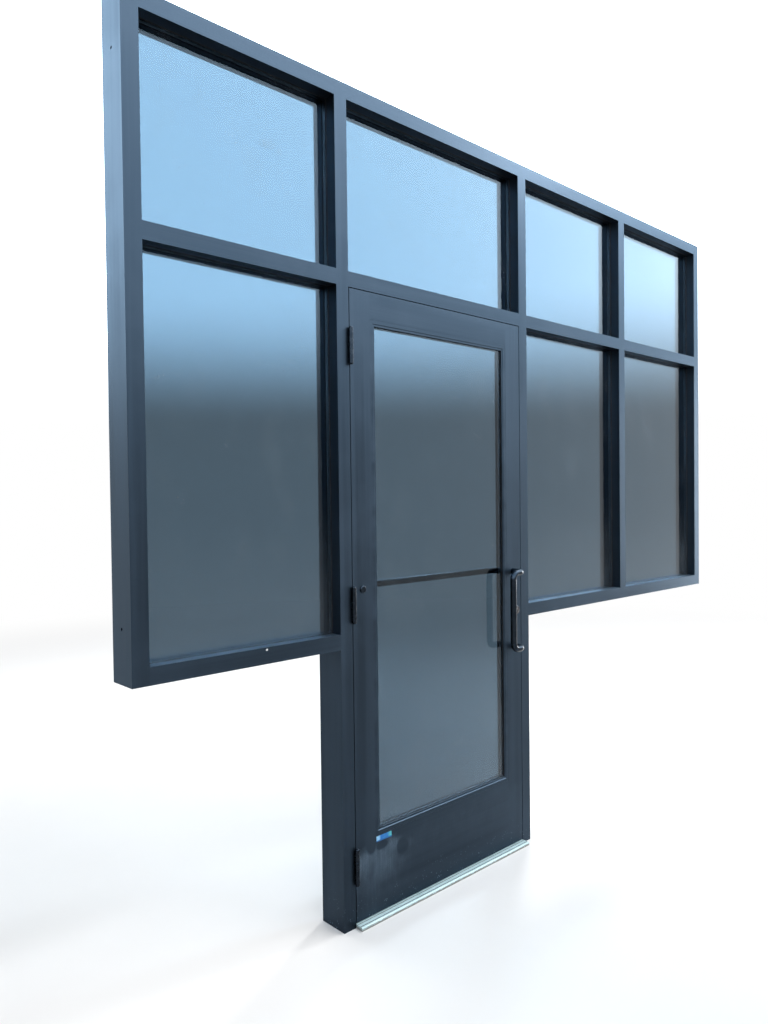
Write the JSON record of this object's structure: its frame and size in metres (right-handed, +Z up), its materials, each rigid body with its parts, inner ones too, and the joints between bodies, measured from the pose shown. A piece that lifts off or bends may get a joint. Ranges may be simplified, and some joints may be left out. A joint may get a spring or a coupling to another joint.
{
  "type": "glazed entrance door with its storefront frame",
  "caption": "Outward-swinging glazed aluminium door in a storefront frame with transom lites and side windows; butt hinges, round pull, push bar and deadbolt.",
  "frame": {"origin": "On the floor, at the middle of the door opening's width and of the frame's depth.", "axes": "+X along the face from the hinge side to the lock side, +Y through the frame from outside to inside, +Z up."},
  "size_m": [3.2957, 0.1785, 2.794],
  "materials": {
    "dark_aluminium": "dark anodised, satin",
    "clear_glass": "lightly tinted float glass",
    "spacer_aluminium": "mill, bare",
    "black_rubber": "matt",
    "mill_aluminium": "mill, worn and dusty",
    "hinge_steel": "black, semi-gloss",
    "handle_metal": "black, semi-gloss",
    "zinc_steel": "zinc plated",
    "lock_steel": "brushed",
    "cylinder_metal": "dark plated, satin"
  },
  "bodies": {
    "frame": {"left_jamb": "dark_aluminium", "hinge_mullion": "dark_aluminium", "lock_mullion": "dark_aluminium", "window_mullion": "dark_aluminium", "right_jamb": "dark_aluminium", "left_head": "dark_aluminium", "door_head": "dark_aluminium", "middle_head": "dark_aluminium", "right_head": "dark_aluminium", "left_transom_bar": "dark_aluminium", "door_header": "dark_aluminium", "middle_transom_bar": "dark_aluminium", "right_transom_bar": "dark_aluminium", "left_sill": "dark_aluminium", "middle_sill": "dark_aluminium", "right_sill": "dark_aluminium", "pocket_fillers": "dark_aluminium", "door_stops": "dark_aluminium", "left_window_glass": "clear_glass", "middle_window_glass": "clear_glass", "right_window_glass": "clear_glass", "left_transom_glass": "clear_glass", "door_transom_glass": "clear_glass", "middle_transom_glass": "clear_glass", "right_transom_glass": "clear_glass", "glass_spacers": "spacer_aluminium", "glazing_gaskets": "black_rubber", "weatherstrips": "black_rubber", "setting_blocks": "black_rubber", "threshold": "mill_aluminium", "top_hinge_frame_leaf": "hinge_steel", "middle_hinge_frame_leaf": "hinge_steel", "bottom_hinge_frame_leaf": "hinge_steel", "hinge_pins": "hinge_steel", "jamb_hinge_plates": "zinc_steel", "strike_plate": "lock_steel"},
    "door": {"hinge_stile": "dark_aluminium", "lock_stile": "dark_aluminium", "top_rail": "dark_aluminium", "bottom_rail": "dark_aluminium", "tie_rods": "zinc_steel", "door_glass": "clear_glass", "door_glass_spacer": "spacer_aluminium", "outer_glass_stops": "dark_aluminium", "inner_glass_stops": "dark_aluminium", "door_gaskets": "black_rubber", "door_setting_blocks": "black_rubber", "door_sweep": "black_rubber", "top_hinge_door_leaf": "hinge_steel", "middle_hinge_door_leaf": "hinge_steel", "bottom_hinge_door_leaf": "hinge_steel", "door_hinge_plates": "zinc_steel", "outside_pull": "handle_metal", "push_bar": "handle_metal", "handle_bolts": "handle_metal", "lock_case": "lock_steel", "lock_cylinders": "cylinder_metal"},
    "deadbolt": {"deadbolt": "lock_steel"},
    "thumbturn": {"thumbturn": "cylinder_metal"},
    "key_plug": {"key_plug": "cylinder_metal"}
  },
  "joints": [
    {"name": "door_swing", "type": "hinge", "parent": "frame", "child": "door", "pos_m": [-0.45561, -0.06545, 0], "axis": [0, 0, -1], "range_deg": [0, 95]},
    {"name": "thumbturn_turn", "type": "hinge", "parent": "door", "child": "thumbturn", "pos_m": [0.42545, 0, 0.972], "axis": [0, 1, 0], "range_deg": [0, 90]},
    {"name": "deadbolt_throw", "type": "slide", "parent": "door", "child": "deadbolt", "axis": [1, 0, 0], "range_m": [0, 0.022]},
    {"name": "key_plug_turn", "type": "hinge", "parent": "door", "child": "key_plug", "pos_m": [0.42545, 0, 0.972], "axis": [0, 1, 0], "range_deg": [0, 90]}
  ],
  "couplings": [
    {"joint": "thumbturn_turn", "follows": "deadbolt_throw", "rad_per_m": 71.3}
  ]
}
